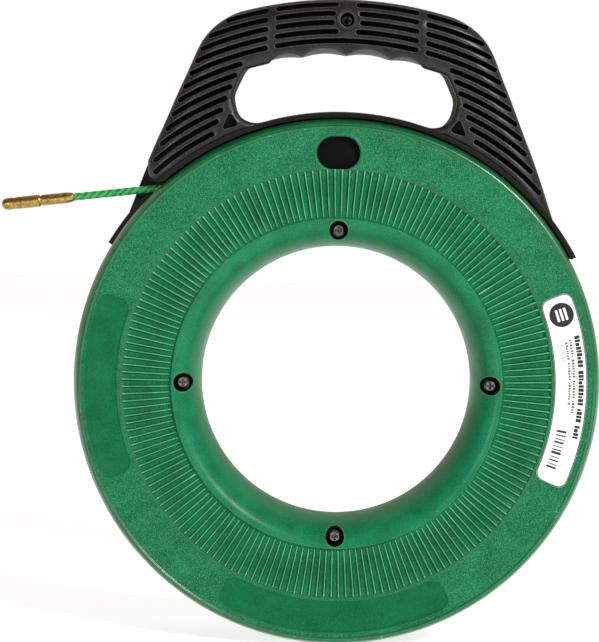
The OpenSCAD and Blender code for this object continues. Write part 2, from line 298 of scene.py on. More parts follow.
def steel(name, dark, light, rough):
    material, shader, coords = new_material(name, metallic=1.0)
    stain = remap(noise(coords, 1.6, 4.0, 0.6), 0.35, 0.65)
    colour = worn_edges_and_hollow_shade(mix(stain, dark, light), linear(225, 220, 222))
    shade(shader, colour, remap(noise(coords, 0.7, 3.0), 0.3, 0.7, *rough), noise(coords, 0.35), 0.3, 0.03)
    return material


def fibreglass(name, helical):
    """Bright green rod; helical adds the darker slanting wrap, which follows the piece's UV map."""
    material, shader, coords = new_material(name)
    mottle = remap(noise(coords, 1.1, 3.0, 0.6), 0.38, 0.62)
    base = mix(mottle, linear(18, 148, 64), linear(58, 184, 98))
    if helical:
        wave = new_node(material.node_tree, "TexWave")
        wave.bands_direction = "DIAGONAL"
        put(wave, Scale=WRAP_STARTS / (5.0 * TAPE_D), Distortion=1.2, Detail=3.0, Detail_Scale=2.0)
        link(new_node(material.node_tree, "UVMap").outputs["UV"], wave.inputs["Vector"])
        base = mix(remap(wave.outputs["Fac"], 0.5, 0.9, 0.0, 0.75), base, linear(10, 84, 40))
    shade(shader, base, remap(mottle, 0.0, 1.0, 0.28, 0.45), noise(coords, 0.6), 0.4, 0.05)
    return material


def film(name, colour, shadow):
    """Printed label film, a little uneven and scuffed."""
    material, shader, coords = new_material(name)
    patch = remap(noise(coords, 5.0, 4.0, 0.6), 0.35, 0.65)
    scuffs = remap(noise(coords, 1.5, 3.0), 0.3, 0.7, 0.34, 0.52)
    shade(shader, mix(patch, colour, shadow), scuffs, noise(coords, 2.5), 0.15, 0.03)
    return material


# Plastics: key, name, dark, light and worn colours, roughness, grain size and depth, speckle, shine
PLASTICS = (
    ("grain", "case_grain", (4, 95, 56), (16, 110, 68), (96, 176, 134), (0.46, 0.58), 0.46, 0.2, 0.62, 0.1),
    ("smooth", "case_smooth", (3, 104, 64), (12, 119, 76), (110, 178, 140),
     (0.26, 0.38), 0.5, 0.04, 0.25, 0.16),
    ("ribs", "case_ribs", (0, 98, 56), (5, 112, 66), (128, 205, 164), (0.3, 0.42), 0.5, 0.04, 0.2, 0.1),
    # Lighter copy of the rib plastic for the crests: a painted highlight.
    ("rib_crest_highlight", "case_rib_crest_highlight", (30, 136, 90), (64, 162, 116), (150, 215, 180),
     (0.24, 0.36), 0.5, 0.03, 0.3, 0.5),
    ("rib_shade", "case_rib_shade", (0, 62, 34), (1, 78, 43), (30, 110, 72),
     (0.4, 0.5), 0.5, 0.03, 0.2, 0.15),
    ("rim", "case_rim", (1, 92, 50), (4, 104, 58), (96, 172, 130), (0.24, 0.34), 0.6, 0.03, 0.15, 0.5),
    ("panel", "case_panel", (0, 89, 50), (2, 101, 59), (70, 140, 100), (0.34, 0.46), 0.5, 0.05, 0.3, 0.1),
    # Near-black green for the counterbores' walls and floors: painted shade.
    ("recess", "case_recess", (1, 26, 15), (2, 36, 21), (14, 70, 44), (0.45, 0.6), 0.5, 0.03, 0.2, 0.1),
    ("handle", "handle_black", (11, 10, 11), (20, 19, 20), (84, 82, 85), (0.3, 0.42), 0.5, 0.05, 0.3, 0.42),
    # Lighter black for the strips round the slots, pockets and screw hole: a painted highlight.
    ("handle_edge_highlight", "handle_black_edge_highlight", (56, 54, 56), (80, 78, 81), (112, 110, 113),
     (0.34, 0.46), 0.5, 0.04, 0.3, 0.2),
    # Duller copy of the handle black, with less sheen and darker edges, for walls, floors and caps: painted
    # shade.
    ("handle_inner_shade", "handle_black_inner_shade", (15, 15, 15), (24, 23, 23), (40, 39, 40),
     (0.6, 0.75), 0.5, 0.05, 0.25, 0.14),
    # Much lighter black for the opening's walls under the finger scallops: painted light from below.
    ("grip_wall_painted_light", "handle_black_grip_painted_light", (78, 74, 75), (104, 100, 101), (124, 120, 122),
     (0.5, 0.62), 0.5, 0.05, 0.25, 0.2),
    ("shoe", "shoe_black", (5, 4, 4), (10, 9, 9), (34, 30, 30), (0.38, 0.5), 0.6, 0.03, 0.2, 0.14),
    ("guide", "guide_black", (3, 3, 3), (7, 7, 6), (18, 18, 18), (0.5, 0.65), 0.6, 0.03, 0.15, 0.03),
    ("core", "core_grey", (42, 42, 44), (60, 60, 62), (110, 110, 112), (0.4, 0.55), 0.7, 0.04, 0.25, 0.2),
)


def make_materials():
    made = {key: plastic(name, linear(*dark), linear(*light), linear(*worn), *numbers)
            for key, name, dark, light, worn, *numbers in PLASTICS}
    made.update({
        "brass": brass("tip_brass_turned"),
        "steel": steel("dark_steel_screw", linear(40, 36, 38), linear(112, 102, 105), (0.22, 0.4)),
        # Darkened steel for the handle screw deep in its hole: painted shade.
        "deep_screw_shade": steel("steel_screw_painted_shade", linear(20, 19, 20), linear(44, 42, 44), (0.35, 0.5)),
        "stud": steel("stud_steel_plain", linear(150, 150, 152), linear(190, 190, 192), (0.22, 0.36)),
        "rod": fibreglass("tape_rod", False),
        "wrapped_rod": fibreglass("tape_rod_wrapped", True),
        "film": film("label_white", linear(238, 238, 234), linear(226, 227, 224)),
        "ink": film("label_ink", linear(9, 9, 10), linear(17, 17, 18)),
        "grey_ink": film("label_grey_ink", linear(64, 65, 67), linear(86, 87, 89)),
    })
    return made


# ==== Mesh helpers

# Body and material slot of each kind of piece
KINDS = {"case": ("case", "case_plastic"), "label": ("case", "label_film"),
         "handle": ("handle", "handle_plastic"),
         "rod": ("tape", "tape_fibreglass"), "brass": ("tape", "tip_brass")}


def make_piece(name, verts, faces, looks, kind, node, smooth=32.0, marks=None):
    """A closed mesh from points in millimetres that stands for a CAD node."""
    mesh = new_mesh(name, verts, faces)
    for look in looks:
        mesh.materials.append(materials[look])
    if marks is not None:
        mesh.polygons.foreach_set("material_index", np.asarray(marks, np.int32))
    soften(mesh, smooth)
    piece = place(name, mesh)
    body, slot = KINDS[kind]
    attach(piece, body)
    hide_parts(node)
    return piece


def new_mesh(name, verts, faces):
    mesh = bpy.data.meshes.new(name)
    mesh.from_pydata((np.asarray(verts, float) * MM).tolist(), [], [list(f) for f in faces])
    work = bmesh.new()
    work.from_mesh(mesh)
    bmesh.ops.recalc_face_normals(work, faces=work.faces)
    work.to_mesh(mesh)
    work.free()
    return mesh


def soften(mesh, smooth=32.0):
    mesh.shade_smooth()
    mesh.set_sharp_from_angle(angle=radians(smooth))


def joined(shapes):
    """Points and faces of several closed shapes as those of one."""
    verts, faces = [], []
    for points, polygons in shapes:
        faces += [[len(verts) + i for i in f] for f in polygons]
        verts += [tuple(v) for v in points]
    return verts, faces


def ring_grid(columns, points):
    """Quads that join neighbouring closed sections all the way round."""
    index = np.arange(columns * points).reshape(columns, points)
    after = np.roll(index, -1, 0)
    return np.stack([index, np.roll(index, -1, 1), np.roll(after, -1, 1), after], -1).reshape(-1, 4)


def turned_ring(angles, sections, side):
    """Points and quads of a ring about Y; sections is (columns, points, [radius, depth])."""
    a = np.radians(angles)[:, None]
    r, d = sections[..., 0], sections[..., 1]
    verts = np.stack([r * np.cos(a), side * d, r * np.sin(a)], -1).reshape(-1, 3)
    return verts, ring_grid(*r.shape)


def lathe(origin, axis, up, side, stations, segments, radius=None):
    """Closed solid of stations (s, r) along an axis; radius(s, r, phi) may shape it further."""
    phi = np.arange(segments) * 2 * pi / segments
    verts = [origin + axis * stations[0][0]]
    for s, r in stations:
        rr = np.full(segments, r) if radius is None else radius(s, r, phi)
        verts += [origin + axis * s + q * (cos(p) * up + sin(p) * side) for p, q in zip(phi, rr)]
    verts.append(origin + axis * stations[-1][0])
    last = 1 + (len(stations) - 1) * segments
    faces = []
    for k in range(segments):
        n = (k + 1) % segments
        faces.append([0, 1 + n, 1 + k])
        faces += [[j + k, j + n, j + segments + n, j + segments + k] for j in range(1, last, segments)]
        faces.append([last + k, last + n, len(verts) - 1])
    return verts, faces


def cut(piece, verts, faces, operation="DIFFERENCE"):
    """Applies one solid boolean to a piece, keeping its materials."""
    cutter = place("cutter", new_mesh("cutter", verts, faces))
    modifier = piece.modifiers.new("cut", "BOOLEAN")
    modifier.object = cutter
    modifier.operation = operation
    modifier.solver = "MANIFOLD"
    shaped = bpy.data.meshes.new_from_object(piece.evaluated_get(bpy.context.evaluated_depsgraph_get()))
    piece.modifiers.clear()
    old, piece.data = piece.data, shaped
    shaped.name = old.name
    for mesh in (old, cutter.data):
        bpy.data.meshes.remove(mesh)
    soften(shaped)


def flat_faces(loop):
    """Triangles that fill a closed outline of (x, z) points."""
    return delaunay_2d_cdt([Vector(p) for p in loop], [], [list(range(len(loop)))], 1, 1e-7)[2]


def prism(loop, y0, y1):
    """Closed plate between two depths from an outline of (x, z) points."""
    n = len(loop)
    verts = [(x, y, z) for y in (y0, y1) for x, z in loop]
    faces = [[k, (k + 1) % n, n + (k + 1) % n, n + k] for k in range(n)]
    for cap in flat_faces(loop):
        faces.append(list(cap))
        faces.append([n + i for i in cap][::-1])
    return verts, faces


def polar_points(r, angles):
    a = np.radians(angles)
    return np.stack([r * np.cos(a), r * np.sin(a)], -1)


def polar_bar(r0, r1, a0, a1, y0, y1):
    """Closed plate in the shape of part of a ring."""
    angles = np.linspace(a0, a1, max(2, ceil(a1 - a0) + 1))
    return prism(join([polar_points(r1, angles), polar_points(r0, angles[::-1])]), y0, y1)


def rounded_bar(r_mid, half_len, half_h, corner, a_mid):
    """Outline of a rounded rectangle bent along a circle."""
    points = join([(sx * (half_len - corner), sy * (half_h - corner))
                   + polar_points(corner, start + np.arange(9) * 11.25)
                   for sx, sy, start in ((1, 1, 0), (-1, 1, 90), (-1, -1, 180), (1, -1, 270))])
    dense = []
    for p, q in zip(points, np.roll(points, -1, 0)):
        count = max(1, int(hypot(*(q - p)) / 2.0))
        dense += [p + (q - p) * k / count for k in range(count)]
    return [(r_mid + v) * at_angle(a_mid + degrees(u / r_mid)) for u, v in dense]


def bar_distance(r, angle, r_mid, half_len, half_h, corner, a_mid):
    """Signed distance from a rounded rectangle bent along a circle, negative inside."""
    turn = (angle - a_mid + 180) % 360 - 180
    u = np.abs(np.radians(turn) * r_mid) - (half_len - corner)
    v = np.abs(r - r_mid) - (half_h - corner)
    outside = np.hypot(np.maximum(u, 0), np.maximum(v, 0))
    return outside + np.minimum(np.maximum(u, v), 0) - corner


def smoothstep(x):
    x = np.clip(x, 0, 1)
    return x * x * (3 - 2 * x)


# ==== Case

def hub_section():
    """Section of the hub: one long round from the hole's middle to the crown, and the hollow behind."""
    centre_r = HOLE_R + HUB_ROUND
    parting = 0.3
    points = [(HOLE_R + parting, 0.05), (HOLE_R + 0.01, parting)]
    points += [(centre_r + HUB_ROUND * cos(a), CASE_D * sin(a)) for a in np.radians(np.arange(177, 89, -3))]
    points += [(RIB_IN_R - 0.05, CASE_D - 0.1), (RIB_IN_R, CASE_D - 0.35), (RIB_IN_R, CAVITY_D)]
    inner = HUB_ROUND - HUB_WALL
    turns = np.radians(90 + 89.8 * np.arange(14) / 13)
    return np.array(points + [(centre_r + inner * cos(a), CAVITY_D * sin(a)) for a in turns])


def screw_places():
    """Centres (x, z) of the four case screws."""
    return [SCREW_CIRCLE_R * at_angle(a + CASE_TURN) for a in range(0, 360, 90)]


def disc_along_y(x, z, r, y0, y1):
    return prism(circle_loop(x, z, r, 48), y0, y1)


def circle_loop(x, z, r, steps=40):
    return np.array([(x + r * cos(t), z + r * sin(t)) for t in np.arange(steps) * 2 * pi / steps])


def hub_depth(r):
    """Depth of the hub's outer surface at a radius."""
    inward = max(HOLE_R + HUB_ROUND - r, 0) / HUB_ROUND
    return CASE_D * sqrt(max(1 - inward ** 2, 0))


def counterbore_lip(x, z, side):
    """Thin raised edge round a counterbore, following the hub's round."""
    around, across, lip_r = 64, 8, 0.34
    reach = COUNTERBORE_D / 2 + 0.1
    verts = []
    for a in np.arange(around) * 2 * pi / around:
        px, pz = x + reach * cos(a), z + reach * sin(a)
        depth = min(hub_depth(hypot(px, pz)) - 0.08, CASE_D - lip_r)
        for b in np.arange(across) * 2 * pi / across:
            out = lip_r * cos(b)
            verts.append((px + out * cos(a), side * (depth + lip_r * sin(b)), pz + out * sin(a)))
    return verts, ring_grid(around, across).tolist()


def make_hub(node, side):
    """Hub with its four screw holes, whose walls and floors get a darker material: painted shade of the deep
    holes.
    """
    columns = 480
    section = hub_section()
    angles = np.arange(columns) * 360.0 / columns + 0.1
    verts, faces = turned_ring(angles, np.broadcast_to(section, (columns, *section.shape)), side)
    piece = make_piece(node + "_hub", verts, faces, ("smooth", "recess"), "case", node)
    steps = [(6.2, 0.1, COUNTERBORE_FLOOR_D + 0.4, "UNION")]
    if side < 0:
        steps += [(COUNTERBORE_D / 2, COUNTERBORE_FLOOR_D, 40, "DIFFERENCE"),
                  (SCREW_SEAT_R, 10, SCREW_SEAT_D, "UNION"), (2.3, -1, 40, "DIFFERENCE")]
    else:
        steps += [(3.0, -1, 12.5, "DIFFERENCE"), (2.3, -1, 18, "DIFFERENCE")]
    for x, z in screw_places():
        for r, y0, y1, operation in steps:
            cut(piece, *disc_along_y(x, z, r, side * y0, side * y1), operation)
    # Faces inside the counterbores get the darker material: painted shade.
    for face in piece.data.polygons:
        x, y, z = face.center / MM
        gap = min(hypot(x - sx, z - sz) for sx, sz in screw_places())
        if gap < COUNTERBORE_D / 2 + 0.02 and side * y < hub_depth(hypot(x, z)) - 0.05:
            face.material_index = 1


def make_rib_band(node, side):
    """Ring of narrow radial ribs that fade out just short of the hub."""
    phases = np.array([-0.5, -0.24, -0.16, -0.08, 0.0, 0.06, 0.13, 0.21])
    heights = np.array([0.0, 0.02, 0.38, 0.88, 1.0, 0.85, 0.3, 0.01])
    pitch = 360.0 / RIB_COUNT
    angles = (np.arange(RIB_COUNT)[:, None] * pitch + phases * pitch).ravel() + RIB_TURN
    height = np.tile(heights, RIB_COUNT)
    first, last = RIB_IN_R + 0.06, RIB_OUT_R - 0.1
    radii = np.array([first, 95.3, 95.7, 96.2, 97.0, 99.0, 102, 106, 110, 114, 118, 121, last])
    rise = np.clip((radii - 94.6) / 8.4, 0, 1) ** 0.7
    sharpness = np.interp(radii, (97, 121), (0.5, 1.3))
    sections = np.zeros((len(angles), len(radii) + 2, 2))
    sections[:, 0] = (first, CAVITY_D)
    sections[:, 1:-1, 0] = radii
    sections[:, 1:-1, 1] = RIB_FLOOR_D + RIB_HEIGHT * rise * height[:, None] ** sharpness
    sections[:, -1] = (last, CAVITY_D)
    verts, faces = turned_ring(angles, sections, side)
    # Crest columns get a lighter material, a painted highlight along each crest, and one flank column gets
    # the darker rib_shade, painted shade.
    marks = np.zeros(sections.shape[:2], int)
    column = np.arange(len(angles)) % len(phases)
    marks[np.isin(column, RIB_HIGHLIGHT_COLUMNS), 4:-2] = 1
    marks[np.isin(column, RIB_SHADE_COLUMNS), 3:-2] = 2
    looks = ("ribs", "rib_crest_highlight", "rib_shade")
    make_piece(node + "_ribs", verts, faces, looks, "case", node, 50.0, marks.ravel())


def bump_at(gap, width):
    """Smooth ridge, by the distance from its line."""
    return np.exp(-(gap / width) ** 2)


def make_outer_ring(node, side):
    """Grained ring with beads and a rounded rim; the front has panels and a window."""
    front = side < 0
    columns = 1440 if front else 720
    angles = np.arange(columns) * 360.0 / columns + 0.07
    radii = join([[RIB_OUT_R, 123.3, 123.6, 124.0, 124.4, 124.8], np.arange(125.3, 146.2, 0.55),
                  np.arange(146.4, 148.5, 0.2)])
    r, a = np.meshgrid(radii, angles)
    depth = FACE_D + 0.1 * bump_at(r - 124.1, 0.5) + 0.4 * bump_at(r - BEAD_R, 0.65)
    depth -= 0.25 * bump_at(r - BEAD_R + 1.1, 0.45) + 0.7 * smoothstep((r - BEAD_R) / 0.9)
    depth[:, 0] = FACE_D - 0.25
    rim = [(147.4 + RIM_ROUND_R * sin(radians(t)), CASE_D - RIM_ROUND_D + RIM_ROUND_D * cos(radians(t)))
           for t in (20, 24, 30, 36, 44, 52, 60, 68, 76, 83, 90)]
    rim += [(CASE_R, SLOT_D + 0.6), (CASE_R - 0.4, SLOT_D), (RIM_IN_R, SLOT_D), (RIM_IN_R, CAVITY_D),
            (RIB_OUT_R, CAVITY_D)]
    marks = np.ones((columns, len(radii) + len(rim)), int)
    marks[:, 4:np.searchsorted(radii, BEAD_R - 1.2)] = 0
    if front:
        face_marks = marks[:, :len(radii)]
        for r0, r1, a0, a1 in PANELS:
            r_mid, a_mid = (r0 + r1) / 2, (a0 + a1) / 2 + CASE_TURN
            half_len = radians(a1 - a0) / 2 * r_mid
            gap = bar_distance(r, a, r_mid, half_len, (r1 - r0) / 2, PANEL_CORNER, a_mid)
            depth += 0.2 * bump_at(gap - 0.6, 0.45) - PANEL_DEPTH * smoothstep(-gap / 0.7)
            face_marks[gap <= 0.1] = 2
        gap = window_distance(r, a)
        depth += 0.4 * bump_at(gap - 1.1, 0.5) - 0.6 * smoothstep((0.6 - gap) / 0.6)
        face_marks[gap < 1.5] = 3
    tail = np.broadcast_to(np.array(rim), (columns, len(rim), 2))
    sections = join([np.stack([r, np.minimum(depth, CASE_D)], -1), tail], 1)
    verts, faces = turned_ring(angles, sections, side)
    looks = ("grain", "rim", "panel", "smooth")
    piece = make_piece(node + "_ring", verts, faces, looks, "case", node, 40.0, marks.ravel())
    if front:
        cut(piece, *prism(window_loop(), side * 20, side * 40))


def window_loop():
    """Outline of the straight-sided oval window."""
    half_w = WINDOW_SIZE[1] / 2
    straight = (WINDOW_SIZE[0] - WINDOW_SIZE[1]) / 2
    points = []
    for centre, start in ((straight, -90), (-straight, 90)):
        points += [(centre, WINDOW_R) + half_w * at_angle(start + 7.5 * k) for k in range(25)]
    c, s = at_angle(WINDOW_TURN)
    return np.array(points) @ ((c, s), (-s, c))


def window_distance(r, angle):
    """Signed distance from the window's outline, negative inside."""
    a = np.radians(angle - WINDOW_TURN)
    x, z = r * np.cos(a), r * np.sin(a)
    straight = (WINDOW_SIZE[0] - WINDOW_SIZE[1]) / 2
    return np.hypot(np.maximum(np.abs(x) - straight, 0), z - WINDOW_R) - WINDOW_SIZE[1] / 2


def make_case():
    for name, side in (("case_front", -1), ("case_back", 1)):
        make_hub(name, side)
        make_rib_band(name, side)
        make_outer_ring(name, side)
    lips = joined(counterbore_lip(x, z, -1) for x, z in screw_places())
    make_piece("counterbore_lips", *lips, ("smooth",), "case", "case_front")


# ==== Label

def make_label():
    """White film with a border, a disc and rows of plain bars where printing would be."""
    r0, r1, a0, a1 = LABEL
    r_mid, a_mid = (r0 + r1) / 2, (a0 + a1) / 2 + CASE_TURN
    half_len = radians(a1 - a0) / 2 * r_mid
    half_h = (r1 - r0) / 2
    corner = 5.2
    film_y = -CASE_D - 0.16
    ink_y = (film_y + 0.01, -CASE_D - 0.21)
    mark_y = (ink_y[1] + 0.01, ink_y[1] - 0.02)

    def bar(low, high, start, end, depths=ink_y):
        return polar_bar(low, high, start + CASE_TURN, end + CASE_TURN, *depths)

    def finish(name, shapes, look):
        make_piece(name, *joined(shapes), (look,), "label", "rating_label")

    outline = rounded_bar(r_mid, half_len, half_h, corner, a_mid)
    finish("label_film", [prism(outline, film_y, -FACE_D - 0.02)], "film")

    edges = [rounded_bar(r_mid, half_len - d, half_h - d, corner - c, a_mid)
             for d, c in ((0.1, 0), (0.55, 0.45))]
    n = len(edges[0])
    border = []
    for k in range(n):
        m = (k + 1) % n
        border += [[k, m, n + m, n + k], [2 * n + k, 3 * n + k, 3 * n + m, 2 * n + m],
                   [k, 2 * n + k, 2 * n + m, m], [n + k, n + m, 3 * n + m, 3 * n + k]]
    ink = [([(x, y, z) for y in ink_y for edge in edges for x, z in edge], border)]
    disc_r, disc_a = 134.6, 18.0
    ink.append(disc_along_y(*(disc_r * at_angle(disc_a + CASE_TURN)), 7.0, *ink_y))
    angle = 12.3
    for k, word in enumerate((9, 10, 4, 4)):
        for letter in range(word):
            high = 141.5 if (letter * 3 + k) % 4 != 2 else 140.7
            width = (0.74, 0.6, 0.8, 0.66, 0.5)[(letter + 2 * k) % 5]
            ink.append(bar(138.5, high, angle - width, angle))
            angle -= width + 0.17
        angle -= 0.7
    for k, width in enumerate((0.5, 0.22, 0.36, 0.22, 0.62, 0.3, 0.22, 0.46, 0.22, 0.34, 0.56)):
        start = -20.6 + 0.92 * k
        ink.append(bar(129.0, 134.6, start, start + width))
    finish("label_print", ink, "ink")

    grey = []
    rows = ((135.2, 136.7, -6.4, 11.6), (132.8, 134.1, -4.2, 11.2), (130.6, 131.2, 6.8, 10.8))
    for row, (low, high, start, angle) in enumerate(rows):
        k = 0
        while angle > start:
            width = (0.34, 0.5, 0.4, 0.28, 0.46)[(k * 3 + row) % 5]
            grey.append(bar(low, high if (k + row) % 3 else high - 0.35, angle - width, angle))
            angle -= width + (0.75 if k % 7 == 6 else 0.24)
            k += 1
    finish("label_small_print", grey, "grey_ink")

    mark = [bar(r - 0.7, r + 0.7, disc_a - 1.5, disc_a + 1.5, mark_y)
            for r in (disc_r - 2.4, disc_r, disc_r + 2.4)]
    finish("label_mark", mark, "film")


# ==== Handle

def smooth_line(points, passes=2):
    """Rounds an open line's corners, keeping its ends."""
    points = np.asarray(points, float)
    for _ in range(passes):
        near = points[:-1] * 0.75 + points[1:] * 0.25
        far = points[:-1] * 0.25 + points[1:] * 0.75
        middle = np.stack([near, far], 1).reshape(-1, 2)
        points = join([points[:1], middle, points[-1:]])
    return points


def resample(points, step, closed=False):
    """Even points along a line, about step apart."""
    points = join([points, points[:1]]) if closed else points
    length = join([[0], np.cumsum(np.hypot(*np.diff(points, axis=0).T))])
    count = max(2, int(round(length[-1] / step)) + 1)
    at = np.linspace(0, length[-1], count)
    out = np.stack([np.interp(at, length, axis) for axis in np.transpose(points)], -1)
    return out[:-1] if closed else out


def handle_outline(cut_for_tape):
    """Closed outer outline, and the part of it that is rolled: the sides and the top."""
    side = smooth_line(HANDLE_SIDE)
    radius = np.hypot(*side.T)
    last = int(np.argmax(radius < BAND_R))
    t = (radius[last - 1] - BAND_R) / (radius[last - 1] - radius[last])
    right = resample(join([side[:last], [side[last - 1] + t * (side[last] - side[last - 1])]]), 1.3)
    top_a, low_a = (degrees(atan2(z, x)) for x, z in (right[0], right[-1]))
    top = polar_points(HANDLE_TOP_R, np.linspace(180 - top_a, top_a, 90))[:-1]
    band = polar_points(BAND_R, np.linspace(low_a, 180 - low_a, 170))[1:-1]
    left = right[::-1] * (-1, 1)
    if cut_for_tape:
        left = join([FRONT_SNOUT, left[left[:, 1] > FRONT_SNOUT[-1][1] + 2.5]])
        band = band[(band[:, 0] > 0) | (band[:, 1] > FRONT_SNOUT[0][1] + 0.6)]
    rolled = join([left, top, right])
    return join([rolled, band]), rolled


def opening_loop():
    """Grip opening as seen from its middle: rounded corners, finger scallops and a curved floor."""
    centre = np.array(OPENING_CENTRE)
    rays = polar_points(1.0, np.arange(720) * 0.5)

    def circle_reach(middle, r, sign=1):
        """How far along each ray a circle is met, on its far (1) or near (-1) side."""
        w = centre - middle
        b = rays @ w
        disc = b * b - (w @ w - r * r)
        return np.where(disc > 0, sign * np.sqrt(np.maximum(disc, 0)) - b, 0)

    right = [(51.5, 148.5), (63.5, 160.5), (64.3, 163.5), (63.2, 168.5), (59.1, 177.4), (48.2, 184.4)]
    hull = np.array(right + [(-x, z) for x, z in right[::-1]])
    reach = np.zeros(len(rays))
    for p, q in zip(hull, np.roll(hull, -1, 0)):
        edge, w = q - p, p - centre
        det = edge[0] * rays[:, 1] - rays[:, 0] * edge[1]
        t = (w[1] * edge[0] - w[0] * edge[1]) / det
        s = (rays[:, 0] * w[1] - rays[:, 1] * w[0]) / det
        reach = np.where((t > 0) & (s >= 0) & (s <= 1), np.maximum(reach, t), reach)
    for x, z in ((51.5, 160.5), (52.3, 163.5), (48.2, 172.4)):
        for side in (-1, 1):
            reach = np.maximum(reach, circle_reach((side * x, z), CORNER_R))
    for a in SCALLOP_ANGLES:
        t = circle_reach(SCALLOP_CENTRE_R * at_angle(90 - a), SCALLOP_R)
        hit = centre + t[:, None] * rays
        reach = np.where((np.abs(hit[:, 0]) <= 53) & (hit[:, 1] >= 175), np.maximum(reach, t), reach)
    floor_t = circle_reach((0, 0), OPENING_FLOOR_R, -1)
    reach = np.where(floor_t > 0, np.minimum(reach, floor_t), reach)
    loop = resample(centre + reach[:, None] * rays, 1.0, closed=True)
    for _ in range(4):
        loop = (np.roll(loop, 1, 0) + 2 * loop + np.roll(loop, -1, 0)) / 4
    return loop


def front_opening(opening):
    """The opening at the front face: deeper finger scallops and fuller corners."""
    angle = 90 - np.degrees(np.arctan2(opening[:, 1], opening[:, 0]))
    radius = np.hypot(*opening.T)
    reach = np.ones(len(opening))
    for a, top_r, r in FRONT_SCALLOPS:
        centre_r = top_r - r
        off = centre_r * np.sin(np.radians(angle - a))
        chord = np.sqrt(np.maximum(r * r - off ** 2, 0))
        height = centre_r * np.cos(np.radians(angle - a)) + chord - FRONT_LIP_R
        reach += np.where(np.abs(off) < r, np.exp(height / LIP_BLEND), 0)
    scalloped = FRONT_LIP_R + LIP_BLEND * np.log(reach)
    cornered = FRONT_LIP_R - CORNER_BLEND * np.log(1 + np.exp((FRONT_LIP_R - radius) / CORNER_BLEND))
    shaped = np.where(np.abs(angle) < 14.5, scalloped, cornered)
    shaped = np.where(opening[:, 1] > OPENING_CENTRE[1], shaped, radius)
    return opening * (shaped / radius)[:, None]


def inside(points, loop):
    """Even-odd test of points against a closed loop."""
    result = np.zeros(len(points), bool)
    x, y = points.T
    for (x0, y0), (x1, y1) in zip(loop, np.roll(loop, -1, 0)):
        crosses = (y0 > y) != (y1 > y)
        if y0 != y1:
            result ^= crosses & (x < (x1 - x0) * (y - y0) / (y1 - y0) + x0)
    return result


def distance(points, line, closed=True):
    """Distance from points to a line of segments."""
    a, b = line, np.roll(line, -1, 0)
    if not closed:
        a, b = a[:-1], b[:-1]
    best = np.full(len(points), 1e9)
    for start in range(0, len(a), 64):
        p, q = a[start:start + 64], b[start:start + 64]
        edge = q - p
        size = np.maximum((edge ** 2).sum(1), 1e-12)
        t = np.clip(((points[:, None] - p) * edge).sum(2) / size, 0, 1)
        gap = points[:, None] - p - t[..., None] * edge
        best = np.minimum(best, np.sqrt((gap ** 2).sum(2)).min(1))
    return best


def slot_loops(outline):
    """Outlines of the cored slots: arcs about the spin axis with full-round ends."""
    keep_out = np.array(KEEP_OUT, float)
    loops = []
    angles = np.arange(30, 150.05, 0.1)
    for r in (SLOT_FIRST_R + k * SLOT_PITCH for k in range(SLOT_COUNT)):
        points = polar_points(r, angles)
        margin = SLOT_HALF_W + np.interp(points[:, 1], *SLOT_MARGIN)
        good = inside(points, outline) & (distance(points, outline) > margin)
        if r < GRIP_SLOT_R:
            good &= ~inside(points, keep_out) & (distance(points, keep_out) > 0.3)
        else:
            x = np.abs(points[:, 0])
            good &= np.abs(x - DIVIDER_X) > DIVIDER_HALF_W
            good &= np.hypot(x, points[:, 1] - BOSS_Z) > BOSS_SLOT_R
            good &= (x > BOSS_WEB_HALF_W) | (points[:, 1] < BOSS_WEB_Z)
        edges = np.flatnonzero(np.diff(join([[0], good.astype(int), [0]])))
        round_turn = degrees(SLOT_HALF_W / r)
        for first, last in zip(edges[::2], edges[1::2]):
            a0, a1 = angles[first] + round_turn, angles[last - 1] - round_turn
            if a1 - a0 >= 0.6:
                loops.append(slot_loop(r, a0, a1))
    return loops


def slot_loop(r, a0, a1):
    """Outline of one slot: two arcs joined by half circles."""
    angles = np.linspace(a0, a1, max(2, int((a1 - a0) * radians(r) / 1.6) + 1))
    end = np.linspace(0, 180, 9)[1:-1]
    return join([polar_points(r + SLOT_HALF_W, angles),
                 r * at_angle(a1) + polar_points(SLOT_HALF_W, a1 + end),
                 polar_points(r - SLOT_HALF_W, angles[::-1]),
                 r * at_angle(a0) + polar_points(SLOT_HALF_W, a0 + 180 + end)])


def pocket_loops():
    loops = []
    for side in (-1, 1):
        corners = np.array(POCKET) * (side, 1)
        mid = (corners + np.roll(corners, -1, 0)) / 2
        loop = [smooth_line([mid[k - 1], corners[k], mid[k]], 3)[:-1] for k in range(3)]
        loops.append(resample(join(loop), 0.9, closed=True))
    return loops


def round_drop(gap, width, depth):
    """How far a rounded edge has dropped at a distance from it."""
    t = np.clip(1 - gap / width, 0, 1)
    return depth * (1 - np.sqrt(np.maximum(1 - t * t, 0)))


def offset_rows(loop, distances):
    """Copies of a closed loop moved to its left by each distance, end to end."""
    along = np.roll(loop, -1, 0) - np.roll(loop, 1, 0)
    along /= np.maximum(np.hypot(*along.T)[:, None], 1e-9)
    normal = np.stack([-along[:, 1], along[:, 0]], -1)
    return join([loop + normal * d for d in distances])


def turn_of(loop):
    """1 for an outline that runs anticlockwise, -1 for clockwise."""
    x, y = loop.T
    return np.sign((x * np.roll(y, -1) - np.roll(x, -1) * y).sum())


def within(points, outline, holes):
    good = inside(points, outline)
    for hole in holes:
        good &= ~inside(points, hole)
    return good


